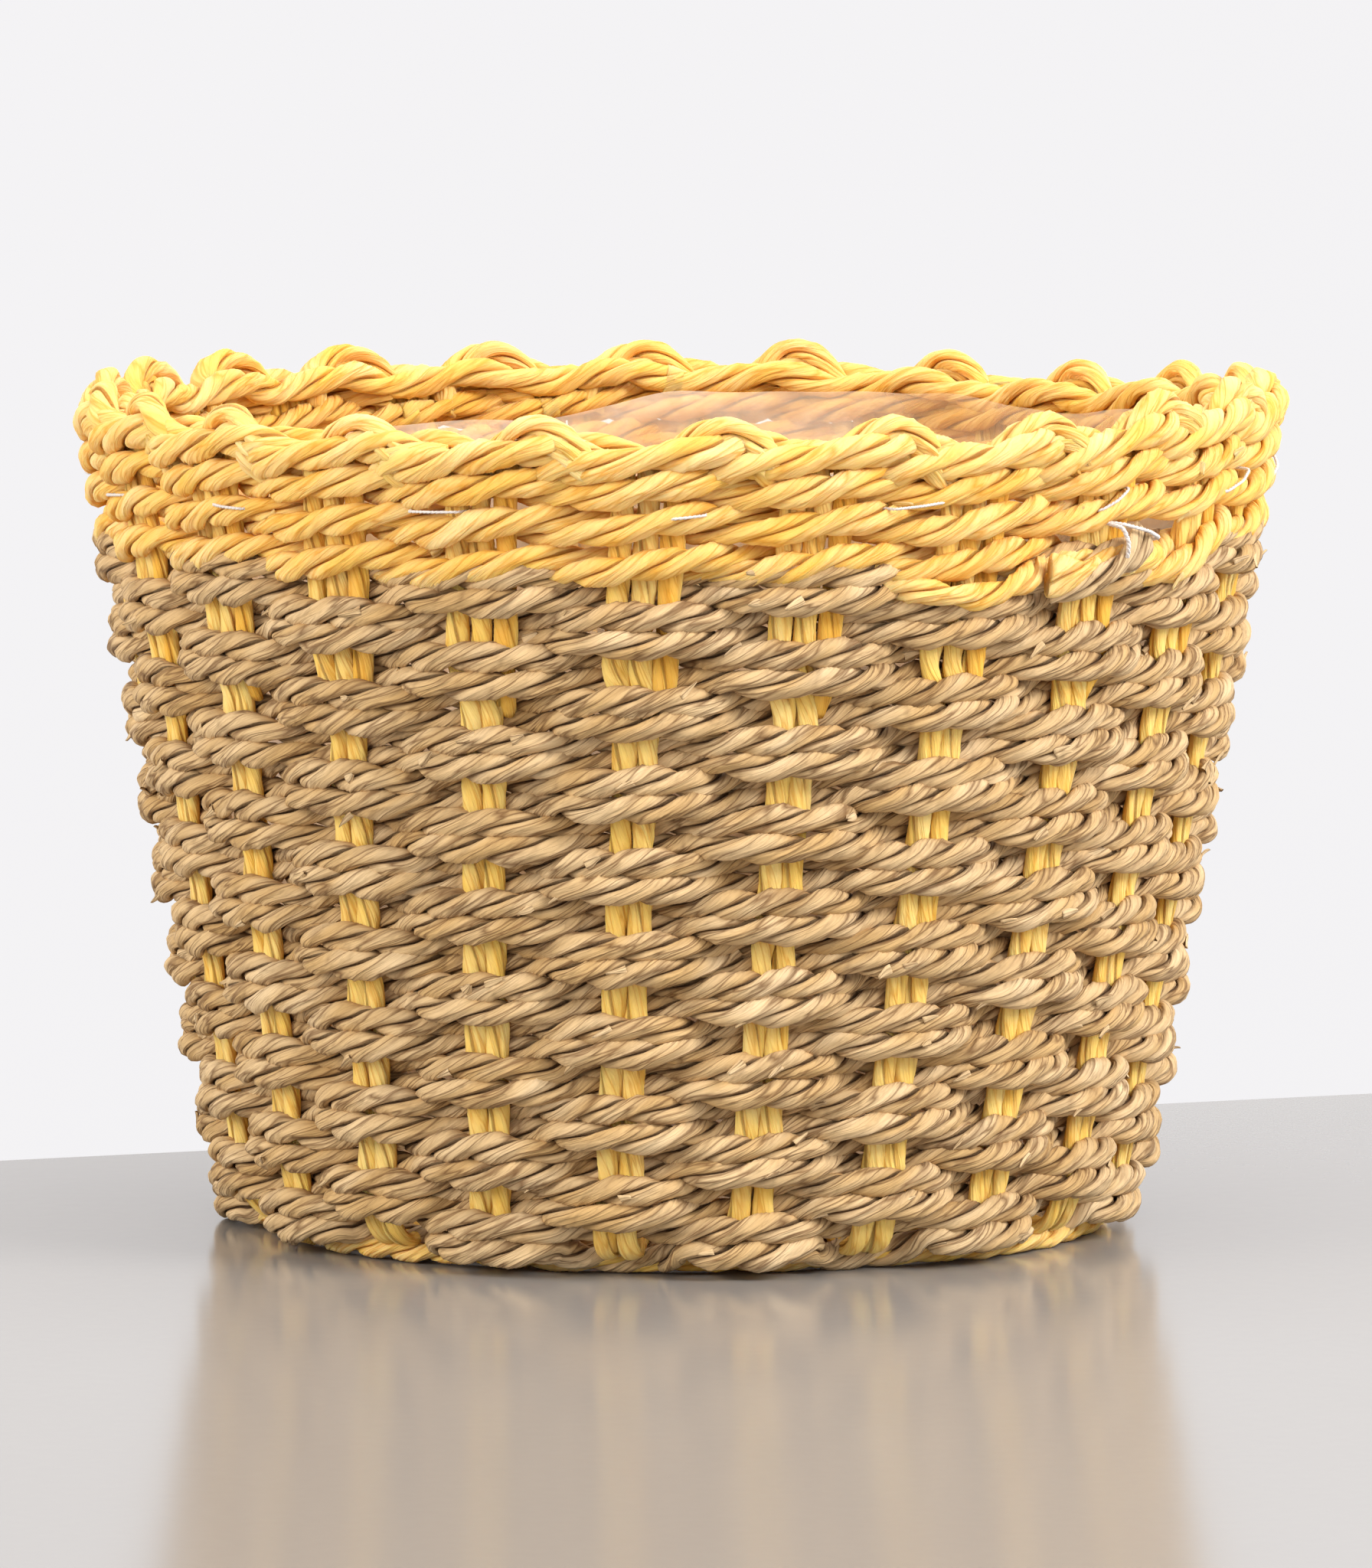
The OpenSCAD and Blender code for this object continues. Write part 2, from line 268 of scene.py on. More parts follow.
def rope(build, path, out, tall, deep, pitch, seed, cols=32, groove=1.0, crumple=1.0,
         turn=0.0, tint=0.0, folds=10, spread=0.2, painted_shade_share=1.0):
    """A cord of two twisted strands of paper along path. out points away from the basket.
    tall and deep are its half sizes along and across the wall, and pitch is one whole twist.
    Two columns of the mesh follow the grooves between the strands, so cols is a multiple of 4.
    groove and crumple are how deep the groove is and how rumpled the paper is, and the last argument is
    how strongly painted shade colours its side turned away from the outside. folds is the number of
    creases round it, and tint makes it paler. spread draws the strands out along the front and back of the
    cord, as pressing does."""
    n = len(path)
    t = np.gradient(path, axis=0)
    t /= np.linalg.norm(t, axis=1)[:, None]
    out = out - (out * t).sum(1)[:, None] * t
    out /= np.linalg.norm(out, axis=1)[:, None]
    up = np.cross(out, t)
    s = np.concatenate([[0], np.cumsum(np.linalg.norm(np.diff(path, axis=0), axis=1))])
    rate = TAU / pitch * (1 + TWIST_VARIES * noise(s / TWIST_LENGTH, 0.5, seed))
    phi = turn + np.concatenate([[0], np.cumsum(rate[1:] * np.diff(s))])
    psi = TAU * np.arange(cols) / cols
    P, S = np.meshgrid(psi, s)
    near = 1 - np.abs(np.cos(P))
    ply = (np.cos(P) > 0).astype(float)
    lobe = 1 - groove * (WAIST * near ** WAIST_POWER + NOTCH * near ** NOTCH_POWER)
    # The two strands of paper differ in size, and each swells and thins along the cord.
    swell = noise(S / SWELL_LENGTH + ply * 37.3, ply * 5.5, seed + 11)
    slack = noise(S / SLACK_LENGTH + ply * 11.1, ply * 3.5, seed + 13)
    lobe = lobe * (1 + crumple * (SWELL * swell + SLACK * slack))
    # Folded paper has flats, which wander round the strand.
    drift = noise(S / 0.0095 + ply * 3.3, 0.5, seed + 6) + 0.5 * noise(S / 0.004, 0.5, seed + 7)
    flat = facets(P + 1.5 * drift + 2.1 * ply, FOLD_SIDES)
    lobe = lobe * (1 + crumple * FOLD_DEPTH * (flat - FOLD_MEAN))
    across = P / TAU
    wide = noise(across * folds + S * 26, S / 0.0105, seed + 1, folds)
    fine = noise(across * 2 * folds - S * 40, S / 0.0065, seed + 2, 2 * folds)
    cut = noise(across * 6 + S * 150, S / 0.0058, seed + 3, 6)
    dent = sum(depth * crease(lines, width) for lines, (depth, width) in
               ((wide, WIDE_CREASE), (fine, FINE_CREASE), (cut, CUT_CREASE)))
    lobe = lobe * (1 + crumple * (dent + CREASE_MEAN))
    theta = P + phi[:, None]
    theta = theta - spread * np.sin(2 * theta)
    tall = np.broadcast_to(np.asarray(tall, float), (n,))[:, None]
    deep = np.broadcast_to(np.asarray(deep, float), (n,))[:, None]
    x = deep * lobe * np.cos(theta)
    y = tall * lobe * np.sin(theta)
    points = path[:, None, :] + x[..., None] * out[:, None, :] + y[..., None] * up[:, None, :]
    # A cord that reaches the ground lies flat on it.
    points[..., 2] = np.maximum(points[..., 2], TABLE_GAP)
    # Painted shade: the colour darkens beside the groove between the strands and in the deeper dents.
    painted_crease_shade = groove * np.clip(1 - np.abs(np.cos(P)) / GROOVE_PAINTED_SHADE, 0, 1)
    painted_crease_shade = np.clip(painted_crease_shade - 5 * dent * crumple, 0, 1)
    shade = 0.5 + 0.5 * np.clip(0.7 * swell + 0.5 * noise(across * 7, S / 0.012, seed + 5, 7), -1, 1)
    # Each cord takes its grain from another place in the paper.
    grain = np.stack([GRAIN_R * np.cos(P) + (seed % 89) * 0.013, GRAIN_R * np.sin(P) + ply * 0.31,
                      S + (seed % 53) * 0.017], -1)
    # Painted shade: the side of the cord turned away from the outside takes the painted recess colour.
    painted_recess_shade = painted_shade_share * np.clip((0.3 - np.cos(theta)) / 0.9, 0, 1)
    look = np.stack([painted_crease_shade, np.clip(shade + tint, 0, 1), painted_recess_shade], -1)
    a = np.arange(n - 1)[:, None] * cols + np.arange(cols)[None, :]
    b = np.arange(n - 1)[:, None] * cols + (np.arange(cols)[None, :] + 1) % cols
    quads = np.stack([a, b, b + cols, a + cols], -1).reshape(-1, 4)
    caps = [list(range(cols - 1, -1, -1)), [(n - 1) * cols + j for j in range(cols)]]
    sharp = (near > 0.999) & (groove > 0.7)
    build.add(points.reshape(-1, 3), [quads, *caps], grain.reshape(-1, 3), look.reshape(-1, 3),
              sharp.ravel())


# Thickness of a torn scrap.
PAPER_T = 0.00012


def flap(build, root, along, across, lift, length, width, seed):
    """A torn scrap of paper that stands off a cord: a narrow curved leaf, closed underneath."""
    rows, cols = 7, 5
    u = np.linspace(0, 1, rows)[:, None] * np.ones(cols)[None, :]
    v = np.ones(rows)[:, None] * np.linspace(-1, 1, cols)[None, :]
    w = width * (1 - 0.75 * u ** 1.6) * (1 + 0.2 * noise(u * 3, v, seed))
    curl = lift * u ** 1.7 + 0.25 * width * (1 - v ** 2)
    top = root + along * (u * length)[..., None] + across * (v * w / 2)[..., None]
    normal = np.cross(along, across)
    top = top + normal * curl[..., None]
    low = top - normal * PAPER_T
    points = np.concatenate([top.reshape(-1, 3), low.reshape(-1, 3)])
    a = (np.arange(rows - 1)[:, None] * cols + np.arange(cols - 1)[None, :]).ravel()
    face = np.stack([a, a + 1, a + 1 + cols, a + cols], 1)
    under = (face + rows * cols)[:, ::-1]
    rim = ([*range(cols)] + [r * cols + cols - 1 for r in range(1, rows)]
           + [(rows - 1) * cols + c for c in range(cols - 2, -1, -1)]
           + [r * cols for r in range(rows - 2, 0, -1)])
    edge = np.array([[rim[(i + 1) % len(rim)], rim[i], rim[i] + rows * cols,
                      rim[(i + 1) % len(rim)] + rows * cols] for i in range(len(rim))])
    grain = np.stack([v.ravel() * width, u.ravel() * 0 + seed * 0.01, u.ravel() * length], 1)
    look = np.stack([np.zeros(rows * cols), np.full(rows * cols, 0.8), np.zeros(rows * cols)], 1)
    build.add(points, [face, under, edge], np.concatenate([grain, grain]),
              np.concatenate([look, look]))


def around(r, a, z):
    return np.stack([r * np.cos(a), r * np.sin(a), z + 0 * a], 1)


def outward(path):
    """Away from the basket's axis, square to its sloping wall."""
    flat = path * [1, 1, 0]
    flat = flat / np.linalg.norm(flat, axis=1)[:, None]
    return flat + [0, 0, -wall_fit[0]]


# ---------------------------------------------------------------- materials
def node_tree(name):
    material = bpy.data.materials.new(name)
    material.use_nodes = True
    tree = material.node_tree
    tree.nodes.clear()
    output = tree.nodes.new("ShaderNodeOutputMaterial")
    shader = tree.nodes.new("ShaderNodeBsdfPrincipled")
    tree.links.new(shader.outputs[0], output.inputs[0])
    return material, tree, shader


def add_node(tree, kind, inputs=None, **settings):
    node = tree.nodes.new(kind)
    for key, value in settings.items():
        setattr(node, key, value)
    for key, value in (inputs or {}).items():
        if hasattr(value, "node"):
            tree.links.new(value, node.inputs[key])
        else:
            node.inputs[key].default_value = value
    return node


def blend_colour(tree, factor, low, high):
    node = add_node(tree, "ShaderNodeMix", data_type="RGBA")
    for slot, value in ((0, factor), (6, low), (7, high)):
        if hasattr(value, "node"):
            tree.links.new(value, node.inputs[slot])
        elif slot:
            node.inputs[slot].default_value = (*value, 1)
        else:
            node.inputs[slot].default_value = value
    return node.outputs[2]


def arithmetic(tree, how, *values):
    node = add_node(tree, "ShaderNodeMath", operation=how)
    for slot, value in enumerate(values):
        if hasattr(value, "node"):
            tree.links.new(value, node.inputs[slot])
        else:
            node.inputs[slot].default_value = value
    return node.outputs[0]


def cloud_noise(tree, coords, scale, detail=2.0, rough=0.5):
    return add_node(tree, "ShaderNodeTexNoise", {"Vector": coords, "Scale": scale, "Detail": detail,
                                                 "Roughness": rough}).outputs[0]


def drawn_out(tree, coords, stretch, seed):
    """Coordinates that make a texture longer along the paper's fibres."""
    return add_node(tree, "ShaderNodeMapping", {"Vector": coords, "Scale": (1, 1, stretch),
                                                "Location": (seed, seed * 2, seed * 3)}).outputs[0]


def grain_noise(tree, coords, scale, stretch, detail, rough=0.55, seed=0.0):
    return cloud_noise(tree, drawn_out(tree, coords, stretch, seed), scale, detail, rough)


def crackle(tree, coords, scale, stretch, seed):
    """Distance from the nearest of a net of long fine creases."""
    mapped = drawn_out(tree, coords, stretch, seed)
    warp = add_node(tree, "ShaderNodeTexNoise", {"Vector": mapped, "Scale": scale * 1.3,
                                                 "Detail": 1.0}).outputs[1]
    moved = add_node(tree, "ShaderNodeVectorMath", {0: warp, 1: (0.9 / scale,) * 3, 2: mapped},
                     operation="MULTIPLY_ADD").outputs[0]
    return add_node(tree, "ShaderNodeTexVoronoi", {"Vector": moved, "Scale": scale},
                    feature="DISTANCE_TO_EDGE").outputs[0]


def stretch_range(tree, value, low, high, to_low=0.0, to_high=1.0):
    return add_node(tree, "ShaderNodeMapRange", {"Value": value, "From Min": low, "From Max": high,
                                                 "To Min": to_low, "To Max": to_high}).outputs[0]


def paper(name, body, light, painted_crease_colour, painted_recess_colour, glow, depth):
    """Twisted paper: long fibres, fine wrinkles, creases darkened with painted shade, and paler worn
    ridges.
    glow is how much light passes through the paper, and depth is how strongly painted shade darkens its
    creases."""
    material, tree, shader = node_tree(name)
    grain = add_node(tree, "ShaderNodeAttribute", attribute_name="grain").outputs["Vector"]
    look = add_node(tree, "ShaderNodeAttribute", attribute_name="look").outputs["Vector"]
    split = add_node(tree, "ShaderNodeSeparateXYZ", {"Vector": look})
    painted_crease_shade, shade, painted_recess_shade = split.outputs
    fibres = grain_noise(tree, grain, 2600, 0.07, 2, 0.6)
    wrinkle = grain_noise(tree, grain, 900, 0.16, 2, 0.55, 3.1)
    cloud = grain_noise(tree, grain, 130, 0.6, 1, 0.5, 7.7)
    worn = stretch_range(tree, arithmetic(tree, "MULTIPLY_ADD", cloud, 0.6,
                                          arithmetic(tree, "MULTIPLY", shade, 0.5)), 0.35, 0.85)
    colour = blend_colour(tree, worn, body, light)
    # Painted shade on the side turned away from the outside.
    colour = blend_colour(tree, arithmetic(tree, "MULTIPLY", painted_recess_shade, 0.7), colour, painted_recess_colour)
    colour = blend_colour(tree, stretch_range(tree, fibres, 0.45, 0.75, 0.0, 0.18), colour,
                          tuple(0.72 * c for c in body))
    # Painted shade darkens a net of fine crease lines.
    cracks, thin = crackle(tree, grain, 360, 0.12, 0.4), crackle(tree, grain, 1000, 0.12, 5.9)
    colour = blend_colour(tree, stretch_range(tree, cracks, 0.0, 0.075, 0.8 * depth, 0.0), colour,
                          painted_crease_colour)
    colour = blend_colour(tree, stretch_range(tree, thin, 0.0, 0.08, 0.2 * depth, 0.0), colour,
                          painted_crease_colour)
    # Painted shade beside the groove between the strands and in the dents.
    colour = blend_colour(tree, arithmetic(tree, "MULTIPLY", painted_crease_shade, depth), colour, painted_crease_colour)
    tree.links.new(colour, shader.inputs["Base Color"])
    tree.links.new(stretch_range(tree, fibres, 0.3, 0.7, 0.62, 0.84), shader.inputs["Roughness"])
    shader.inputs["Specular IOR Level"].default_value = 0.22
    shader.inputs["Sheen Weight"].default_value = 0.03
    shader.inputs["Sheen Roughness"].default_value = 0.5
    shader.inputs["Subsurface Weight"].default_value = glow
    shader.inputs["Subsurface Radius"].default_value = (1.0, 0.45, 0.14)
    shader.inputs["Subsurface Scale"].default_value = 0.0035
    rib = arithmetic(tree, "ADD", stretch_range(tree, cracks, 0.0, 0.22, 0.0, 0.7),
                     arithmetic(tree, "MULTIPLY_ADD", wrinkle, 0.5,
                                stretch_range(tree, thin, 0.0, 0.2, 0.0, 0.28)))
    first = add_node(tree, "ShaderNodeBump", {"Strength": 0.75, "Distance": 0.0004, "Height": rib})
    second = add_node(tree, "ShaderNodeBump", {"Strength": 0.35, "Distance": 0.00012,
                                               "Height": fibres, "Normal": first.outputs[0]})
    tree.links.new(second.outputs[0], shader.inputs["Normal"])
    return material


def make_film():
    """Thin frosted film: cloudy, faintly pink, crumpled, and see-through in part."""
    material, tree, shader = node_tree("film")
    where = add_node(tree, "ShaderNodeTexCoord").outputs["Object"]
    cloud = cloud_noise(tree, where, 34.0, 4.0, 0.6)
    crumple = cloud_noise(tree, where, 150.0, 5.0, 0.6)
    colour = blend_colour(tree, stretch_range(tree, cloud, 0.35, 0.65), (0.93, 0.66, 0.38),
                          (0.97, 0.82, 0.66))
    tree.links.new(colour, shader.inputs["Base Color"])
    tree.links.new(stretch_range(tree, cloud, 0.35, 0.65, 0.22, 0.38), shader.inputs["Roughness"])
    tree.links.new(stretch_range(tree, cloud, 0.3, 0.7, 0.20, 0.46), shader.inputs["Alpha"])
    bump = add_node(tree, "ShaderNodeBump", {"Strength": 0.5, "Distance": 0.0008, "Height": crumple})
    tree.links.new(bump.outputs[0], shader.inputs["Normal"])
    shader.inputs["Coat Weight"].default_value = 0.12
    shader.inputs["Coat Roughness"].default_value = 0.15
    return material


def make_thread():
    """White sewing thread with the slant of its twist."""
    material, tree, shader = node_tree("thread")
    grain = add_node(tree, "ShaderNodeAttribute", attribute_name="grain").outputs["Vector"]
    fuzz = grain_noise(tree, grain, 5200, 0.2, 3)
    colour = blend_colour(tree, stretch_range(tree, fuzz, 0.35, 0.7), (0.88, 0.83, 0.80),
                          (0.76, 0.70, 0.68))
    tree.links.new(colour, shader.inputs["Base Color"])
    shader.inputs["Roughness"].default_value = 0.6
    shader.inputs["Sheen Weight"].default_value = 0.25
    bump = add_node(tree, "ShaderNodeBump", {"Strength": 0.4, "Distance": 0.0001, "Height": fuzz})
    tree.links.new(bump.outputs[0], shader.inputs["Normal"])
    return material


# Each paper's fourth and fifth colours are painted shade: the first for its creases and grooves, the
# second for its side turned away from the outside, deep orange on the yellow papers.
TAN = paper("tan_paper", (0.60, 0.385, 0.165), (0.79, 0.585, 0.345), (0.14, 0.06, 0.018),
            (0.40, 0.21, 0.07), 0.0, 1.0)
YELLOW = paper("yellow_paper", (0.917, 0.55, 0.12), (0.967, 0.69, 0.31), (0.66, 0.27, 0.01),
               (0.88, 0.40, 0.03), 0.3, 0.8)
# The stakes' yellow is painted brighter than the band's to offset the shade they stand in inside the
# weave: painted light.
STAKE_PAINTED_LIGHT = paper("yellow_stake_paper_painted_light", (0.98, 0.63, 0.14), (0.99, 0.75, 0.29), (0.62, 0.26, 0.01),
              (0.88, 0.44, 0.04), 0.25, 0.7)
FILM = make_film()
THREAD = make_thread()

# --------------------------------------------------------------- side weave
CORD_STEP = 0.9 * MM
# A closed cord's two ends overlap a little, behind a stake.
END_OVERLAP, TURN_POINTS = 0.03, 2400
# Length of one whole twist of each kind of cord.
SIDE_TWIST, BASE_TWIST, FOOT_TWIST, TAIL_TWIST = 24 * MM, 21 * MM, 22 * MM, 30 * MM
STAKE_TWIST, BAND_TWIST, OUTER_TWIST, ARCH_TWIST, INNER_TWIST = 48 * MM, 26 * MM, 31 * MM, 36 * MM, 28 * MM


def turn_azimuths(start):
    return start + np.linspace(0, TAU + END_OVERLAP, TURN_POINTS)


def seam_after(bulge):
    """Where a round at the back is on the inside of a stake, to hide its ends."""
    return bulge + STEP * (1 + 2 * round((BACK_SEAM - bulge) / (2 * STEP)))


def weave(u, hold=1.7):
    """1 where a round stands out over a stake and -1 where it is behind the next."""
    return np.tanh(hold * np.cos(np.pi * u)) / math.tanh(hold)


def scraps(build, path, half_tall, half_deep, seed, share=0.012):
    """Small torn flaps of paper that stand off the outside of a cord."""
    rng = np.random.default_rng(seed + 70)
    t = np.gradient(path, axis=0)
    t /= np.linalg.norm(t, axis=1)[:, None]
    out = outward(path)
    out /= np.linalg.norm(out, axis=1)[:, None]
    for i in rng.choice(np.arange(20, len(path) - 20), int(share * len(path)), replace=False):
        up = np.cross(out[i], t[i])
        lean = rng.uniform(0.3, 0.75)
        at = rng.uniform(-0.75, 0.75)
        normal = out[i] * math.cos(at) + up * math.sin(at)
        along = t[i] * math.cos(lean) + np.cross(t[i], normal) * -math.sin(lean)
        along = along * rng.choice([-1, 1])
        root = (path[i] + out[i] * half_deep[i] * 0.84 * math.cos(at)
                + up * half_tall[i] * 0.84 * math.sin(at))
        flap(build, root, along, np.cross(normal, along), rng.uniform(0.3, 1.3) * MM,
             rng.uniform(2.6, 4.6) * MM, rng.uniform(1.2, 2.4) * MM, int(seed + i))


for number in range(1, ROUNDS + 1):
    build = Build()
    z0, r0 = round_z[number - 1], wall_r(round_z[number - 1])
    az = turn_azimuths(seam_after(round_a[number - 1]))
    u = (az - round_a[number - 1]) / STEP
    w = weave(u)
    for side in (-1, 1):
        seed = number * 20 + side * 3
        beat = noise(u / 1.9, side * 7.0, seed + 5)
        spread = 2.04 + 0.58 * w * w
        r = r0 - SET_IN + SWING * w * (1 + 0.10 * noise(u / 2.1, 3.0, seed)) + 0.35 * MM * beat
        z = z0 + tilt_of(az) + MM * (side * spread + 0.30 * noise(u / 1.3, 9.0, seed))
        if number == 1 and side < 0:
            # Under the edge, the lowest cord passes below the stakes that it is not over.
            dip = np.clip(-w, 0, 1)
            z = z * (1 - dip) + 2.9 * MM * dip
            r = r - 4.2 * MM * dip
        if number == 1:
            # At the left of the front the lowest round rides up and shows the foot rope.
            z = z + 2.0 * MM * near_azimuth(az, -137, 20)
            r = r - (1.2 if side < 0 else 0.3) * MM
        path = around(r, az, z)
        path, w2 = spaced(path, CORD_STEP, w)
        half_tall = MM * (2.78 + 0.40 * w2 * w2)
        half_deep = MM * (2.95 - 0.25 * w2 * w2)
        rope(build, path, outward(path), half_tall, half_deep, SIDE_TWIST, seed,
             turn=seed * 1.7, tint=0.10 * math.sin(number * 2.1))
        scraps(build, path, half_tall, half_deep, seed)
    build.finish(f"side_cord_{number:02d}", f"tan_round_{number:02d}", TAN)

# ------------------------------------------------------------------- stakes
spoke_low, spoke_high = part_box("spoke_01")
SPOKE_Z = spoke_low.z + 4.15 * MM
BEND_R = 6 * MM
EDGE_Z = SPOKE_Z - 2.0 * MM
STAKE_TOP = spoke_high.z + 2.6 * MM
STAKE_OUT = 0.7 * MM
# Width of a spoke where the two sets cross, and how far each set is above or below the middle.
SPOKE_W = 8.6 * MM
LIFT = 2.15 * MM
# Half the size of the crossing, and the radius at which the spokes have fanned out.
CROSS_HALF, FAN_R = 27 * MM, 50 * MM
# The third strand of a stake starts here, and the other two have made room for it here.
THIRD_Z, THREE_Z = 111 * MM, 124 * MM
STAKE_STEP = 1.25 * MM


def half_spoke(k, end_a, offset, layer_z):
    """Points from the middle of the base to the rim, with the sideways direction at each."""
    foot_a = stake_at(k, 0)
    bend_z = EDGE_Z + BEND_R
    bend_x = wall_r(bend_z) - SET_IN - BEND_R
    side_dir = np.array([-math.sin(end_a), math.cos(end_a), 0])
    start = np.array([CROSS_HALF * math.cos(end_a), CROSS_HALF * math.sin(end_a), layer_z])
    start = start + offset * side_dir
    middle = np.array([0, 0, layer_z]) + offset * side_dir
    fan = np.array([FAN_R * math.cos(foot_a), FAN_R * math.sin(foot_a), SPOKE_Z])
    rise = np.array([(bend_x - 8 * MM) * math.cos(foot_a), (bend_x - 8 * MM) * math.sin(foot_a),
                     SPOKE_Z + 0.2 * MM])
    points = [middle, start, fan, rise]
    for turn in np.linspace(0, math.pi / 2 - math.atan(wall_fit[0]), 9):
        x = bend_x + BEND_R * math.sin(turn)
        points.append(np.array([x * math.cos(foot_a), x * math.sin(foot_a),
                                bend_z - BEND_R * math.cos(turn)]))
    for z in np.linspace(bend_z + 4 * MM, STAKE_TOP, 60):
        a = float(stake_at(k, z))
        # Each round that passes outside presses the stake in a little.
        press = 0.35 * MM * math.cos(math.pi * (z - round_z[0]) / ROUND_PITCH + math.pi * (k + 1))
        lean_in = 2.2 * MM * float(ramp(z, 158 * MM, STAKE_TOP))
        r = float(wall_r(z)) - SET_IN + STAKE_OUT + press - lean_in
        points.append(np.array([r * math.cos(a), r * math.sin(a), z]))
    points = np.array(points)
    a = np.arctan2(points[2:, 1], points[2:, 0])
    sideways = np.concatenate([np.repeat(side_dir[None], 2, 0),
                               np.stack([-np.sin(a), np.cos(a), 0 * a], 1)])
    return points, sideways


def strand(build, points, sideways, offset, width, thick, seed, turn):
    """One flattened paper strand, offset sideways from the path."""
    moved = points + sideways * offset[:, None]
    moved, side, wide, thin = spaced(moved, STAKE_STEP, sideways, width, thick)
    moved = smooth(moved, 3)
    t = np.gradient(moved, axis=0)
    out = np.cross(t, side)
    rope(build, moved, out, wide, thin, STAKE_TWIST, seed, cols=24, groove=0.5, crumple=0.7,
         turn=turn, folds=9, spread=0.0)


def make_spoke(number):
    """A pair of cords from rim to rim under the base. Spokes 1 to 6 cross below 7 to 11."""
    if number <= 6:
        k_a, k_b, end_a = 3 + number, 21 - number, float(stake_at(6.5, 0))
        offset, layer = (number - 3.5) * SPOKE_W, SPOKE_Z - LIFT
    else:
        k_a, k_b, end_a = 3 + number, 32 - number, float(stake_at(12, 0))
        offset, layer = (number - 9) * SPOKE_W, SPOKE_Z + LIFT
    build = Build()
    out_half, out_side = half_spoke(k_a, end_a, offset, layer)
    far_half, far_side = half_spoke(k_b, end_a + math.pi, -offset, layer)
    points = np.concatenate([out_half[:0:-1], far_half[1:]])
    sideways = np.concatenate([out_side[:0:-1], -far_side[1:]])
    z = points[:, 2]
    high = ramp(z, 113 * MM, THREE_Z)
    first_half = np.arange(len(points)) < len(out_half) - 1
    for side in (-1, 1):
        seed = 900 + number * 17 + side
        # Towards the rim the two strands move over, to make room for a third.
        room = np.where(first_half, 1.0, -1.0) * 2.55 * MM * high
        spread = side * (2.2 + 0.3 * high) * MM - room
        width = (2.45 + 0.15 * np.sin(z * 400 + seed)) * MM
        thick = 1.55 * MM + 0 * z
        strand(build, points, sideways, spread, width, thick, seed, seed * 1.3)
    for half, side_dir, tag in ((out_half, out_side, 0), (far_half, far_side, 50)):
        # The third is a border end, tucked down beside the stake.
        keep = half[:, 2] > THIRD_Z
        points, sideways = half[keep], side_dir[keep]
        z = points[:, 2]
        spread = MM * (3.2 + 1.8 * ramp(z, THIRD_Z, 120 * MM))
        away = points * [1, 1, 0] / np.linalg.norm(points[:, :2], axis=1)[:, None]
        points = points - away * (1.6 * MM * (1 - ramp(z, THIRD_Z, 118 * MM)))[:, None]
        strand(build, points, sideways, spread, 2.5 * MM + 0 * z, 1.45 * MM + 0 * z,
               1500 + number * 13 + tag, number + tag)
    build.finish(f"stake_pair_{number:02d}", f"spoke_{number:02d}", STAKE_PAINTED_LIGHT)


for number in range(1, 12):
    make_spoke(number)

# ------------------------------------------------------------- twined band
# How far each row sits below the CAD's, and how strongly painted orange shade colours its side turned away
# from the outside, from the lowest up.
ROW_DROP, ROW_PAINTED_SHADE = (-2.3, -1.2, -0.7), (1.0, 0.85, 0.5)
# Where the band starts, low over the tan: degrees right of the front, and half width.
START_AT, START_HALF = 53, 9

for row in (1, 2, 3):
    _, _, z = ring_of(f"twine_{row}_lead")
    z0 = (z.max() + z.min()) / 2 + ROW_DROP[row - 1] * MM
    r0 = float(wall_r(z0))
    for cord, name in enumerate(("lead", "follow")):
        build = Build()
        seed = 2000 + row * 40 + cord * 7
        r, a, _ = ring_of(f"twine_{row}_{name}")
        out_a = bulge_azimuth(r, a)
        az = turn_azimuths(seam_after(out_a))
        u = (az - out_a) / STEP
        w = weave(u, 1.25)
        climb = np.sin(np.pi * u)
        right = np.angle(np.exp(1j * (az - FRONT)))
        start = np.exp(-((right - math.radians(START_AT)) / math.radians(START_HALF)) ** 2) * (row == 1)
        r = r0 - SET_IN + MM * (3.3 * w + 0.3 * noise(u / 2, 1.0, seed) + 1.6 * start)
        z = z0 + tilt_of(az) + band_sag(az) + MM * (1.75 * climb - 5.0 * start
                                                    + 0.35 * noise(u / 1.4, 4.0, seed))
        path = around(r, az, z)
        path, w2 = spaced(path, CORD_STEP, w)
        rope(build, path, outward(path), MM * (2.7 + 0.42 * np.clip(w2, 0, 1)),
             MM * (2.6 - 0.1 * w2), BAND_TWIST, seed, turn=seed * 2.3, folds=9,
             painted_shade_share=ROW_PAINTED_SHADE[row - 1])
        scraps(build, path, MM * (2.5 + 0.42 * np.clip(w2, 0, 1)), MM * (2.5 - 0.1 * w2), seed, 0.006)
        build.finish(f"band_cord_{row}_{name}", f"twine_{row}_{name}", YELLOW)

# ------------------------------------------------------------------ border
_, _, strand_z = ring_of("border_strands")
LOW_Z, HIGH_Z = strand_z.min() + 1.3 * MM, strand_z.max() - 3.4 * MM
BORDER_STEP, ARCH_STEP = 0.85 * MM, 0.8 * MM
BORDER_POINTS = 60


